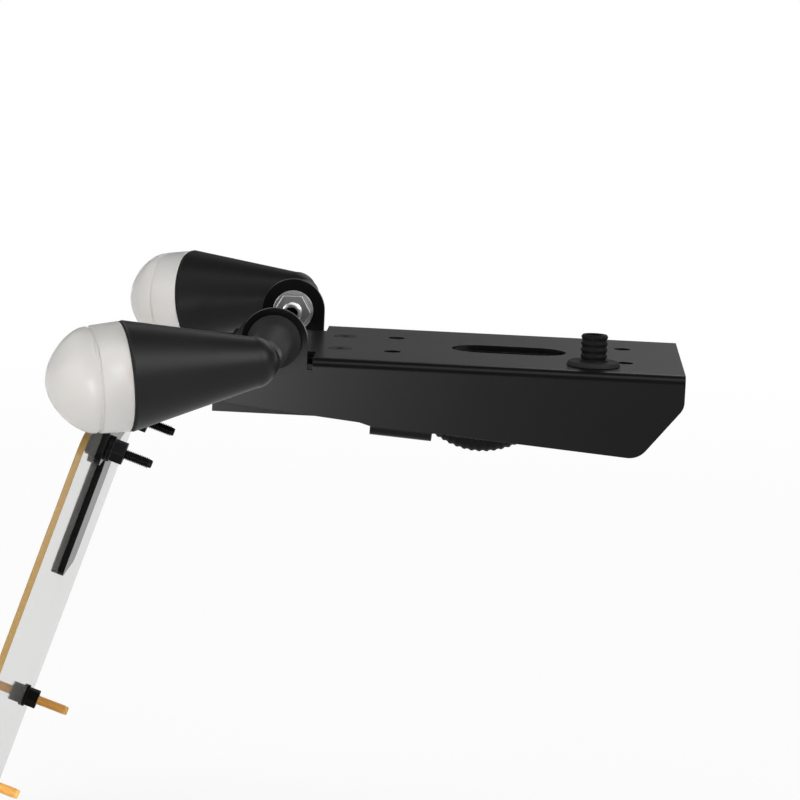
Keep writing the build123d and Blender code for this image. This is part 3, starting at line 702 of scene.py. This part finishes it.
tube = bmesh.new()
first = None
last = None
for index, (spot, heading) in enumerate(stations):
    on_rib = index % rings_per_rib < rings_per_rib / 2
    ring = hoop(tube, spot, heading, rib_radius if on_rib else valley_radius)
    if last:
        bmesh.ops.bridge_loops(tube, edges=last + ring)
    else:
        first = ring
    last = ring
for (spot, heading), mouth, sense in ((stations[0], first, 1), (stations[-1], last, -1)):
    lip = hoop(tube, spot, heading, conduit_bore)
    throat = hoop(tube, spot + heading * sense * throat_depth, heading, conduit_bore)
    bmesh.ops.bridge_loops(tube, edges=mouth + lip)
    bmesh.ops.bridge_loops(tube, edges=lip + throat)
    bmesh.ops.holes_fill(tube, edges=throat, sides=0)
bmesh.ops.recalc_face_normals(tube, faces=tube.faces)
loom_black = grained(
    "loom_black",
    dark=(0.0030, 0.0030, 0.0030),
    light=(0.0050, 0.0050, 0.0050),
    smooth=0.5,
    rough=0.6,
    pebble=900.0,
    depth=0.00001,
    Specular_IOR_Level=0.08,
)
placed(tube, "ribbed_conduit", loom_black, "conduit_black", "wiring_conduit", size=mm, crease=60)
placed(eased("conduit_clip", edge=0.3), "saddle_clip", black_nylon, "black_nylon", "conduit_clip")
grommet = eased("conduit_grommet", edge=0.4, steps=3)
placed(grommet, "grommet_ring", soft_rubber, "seal_rubber", "conduit_grommet")


# Studio
# A white floor that runs out to a white horizon under a plain dim world, and large soft lamps.
# The camera stands at the part's right side, a little above the bracket and slightly canted.
def background_rays(tree):
    """A mask of the rays that meet the white background: from the camera, glossy or transmitted."""
    rays = added(tree, "ShaderNodeLightPath")
    straight = added(tree, "ShaderNodeMath", operation="MAXIMUM")
    seen = added(tree, "ShaderNodeMath", operation="MAXIMUM")
    tree.links.new(rays.outputs["Is Camera Ray"], straight.inputs[0])
    tree.links.new(rays.outputs["Is Glossy Ray"], straight.inputs[1])
    tree.links.new(straight.outputs[0], seen.inputs[0])
    tree.links.new(rays.outputs["Is Transmission Ray"], seen.inputs[1])
    return seen.outputs[0]


floor_white = bpy.data.materials.new("floor_white")
floor_white.use_nodes = True
tree = floor_white.node_tree
matt = tree.nodes["Principled BSDF"]
matt.inputs["Base Color"].default_value = (0.86, 0.86, 0.855, 1)
matt.inputs["Roughness"].default_value = 0.9
spot = added(tree, "ShaderNodeTexCoord")
reach = added(tree, "ShaderNodeVectorMath", operation="LENGTH")
sweep = added(tree, "ShaderNodeMapRange", **{"From Min": 0.3, "From Max": 1.6, "To Min": 0.86, "To Max": 1.0})
share = added(tree, "ShaderNodeMath", operation="MULTIPLY")
glow = added(tree, "ShaderNodeEmission", Strength=1.0)
mixed = added(tree, "ShaderNodeMixShader")
tree.links.new(spot.outputs["Object"], reach.inputs[0])
tree.links.new(reach.outputs["Value"], sweep.inputs["Value"])
tree.links.new(background_rays(tree), share.inputs[0])
tree.links.new(sweep.outputs["Result"], share.inputs[1])
tree.links.new(share.outputs[0], mixed.inputs[0])
tree.links.new(matt.outputs[0], mixed.inputs[1])
tree.links.new(glow.outputs[0], mixed.inputs[2])
tree.links.new(mixed.outputs[0], tree.nodes["Material Output"].inputs["Surface"])

floor_reach = 60.0
floor_gap = 0.002
ground = bmesh.new()
bmesh.ops.create_grid(ground, x_segments=1, y_segments=1, size=floor_reach)
bmesh.ops.translate(ground, vec=(0, 0, cad_box[0][2] - floor_gap), verts=ground.verts)
floor_mesh = bpy.data.meshes.new("floor")
ground.to_mesh(floor_mesh)
ground.free()
floor_white.cycles.emission_sampling = "NONE"
floor_mesh.materials.append(floor_white)
floor = bpy.data.objects.new("floor", floor_mesh)
bpy.context.scene.collection.objects.link(floor)

sky = bpy.data.worlds.new("studio")
bpy.context.scene.world = sky
sky.use_nodes = True
tree = sky.node_tree
dim = tree.nodes["Background"]
dim.inputs["Color"].default_value = (1.0, 0.995, 0.985, 1)
dim.inputs["Strength"].default_value = 0.1
white = added(tree, "ShaderNodeBackground", Color=(1, 1, 1, 1), Strength=1.0)
heading = added(tree, "ShaderNodeTexCoord")
split = added(tree, "ShaderNodeSeparateXYZ")
wall = added(tree, "ShaderNodeMapRange", **{"From Min": 0.03, "From Max": 0.12, "To Min": 1.0, "To Max": 0.0})
share = added(tree, "ShaderNodeMath", operation="MULTIPLY")
mixed = added(tree, "ShaderNodeMixShader")
tree.links.new(heading.outputs["Generated"], split.inputs[0])
tree.links.new(split.outputs["Z"], wall.inputs["Value"])
tree.links.new(background_rays(tree), share.inputs[0])
tree.links.new(wall.outputs["Result"], share.inputs[1])
tree.links.new(share.outputs[0], mixed.inputs[0])
tree.links.new(dim.outputs[0], mixed.inputs[1])
tree.links.new(white.outputs[0], mixed.inputs[2])
tree.links.new(mixed.outputs[0], tree.nodes["World Output"].inputs["Surface"])

for name, power, width, height, spot, aim in (
    ("side_softbox", 3.4, 0.16, 0.20, (-0.27, -0.95, -0.10), (-0.08, -0.05, -0.02)),
    ("front_softbox", 15.0, 1.4, 1.0, (0.1, -0.9, 1.9), (-0.05, 0, -0.03)),
    ("fill_softbox", 24.0, 1.2, 1.0, (1.25, -0.8, 1.0), (-0.10, 0, -0.05)),
    ("left_softbox", 10.0, 1.0, 1.0, (-1.3, -0.8, 0.5), (-0.12, -0.05, -0.05)),
    ("rear_softbox", 7.0, 1.2, 1.0, (-1.5, 0.8, 1.1), (-0.15, 0, -0.1)),
    ("back_softbox", 6.5, 1.4, 1.0, (0.6, 1.5, 1.1), (-0.06, 0, -0.05)),
):
    lamp = bpy.data.lights.new(name, "AREA")
    lamp.shape = "RECTANGLE"
    lamp.size = width
    lamp.size_y = height
    lamp.energy = power
    holder = bpy.data.objects.new(name, lamp)
    holder.location = spot
    holder.rotation_euler = (Vector(aim) - Vector(spot)).to_track_quat("-Z", "Y").to_euler()
    holder.visible_camera = False
    bpy.context.scene.collection.objects.link(holder)

lens = bpy.data.cameras.new("photo_camera")
lens.sensor_width = 36.0
lens.lens = 152.1
lens.clip_start = 0.05
camera = bpy.data.objects.new("photo_camera", lens)
right = Vector((0.99812931, 0.04152904, 0.044869))
top = Vector((-0.05046543, 0.14535163, 0.98809217))
camera.matrix_world = Matrix.Translation((0.004103, -1.287584, 0.170270)) @ Matrix(
    (right, top, right.cross(top))
).transposed().to_4x4()
bpy.context.scene.collection.objects.link(camera)
bpy.context.scene.camera = camera
bpy.context.scene.view_settings.view_transform = "Standard"
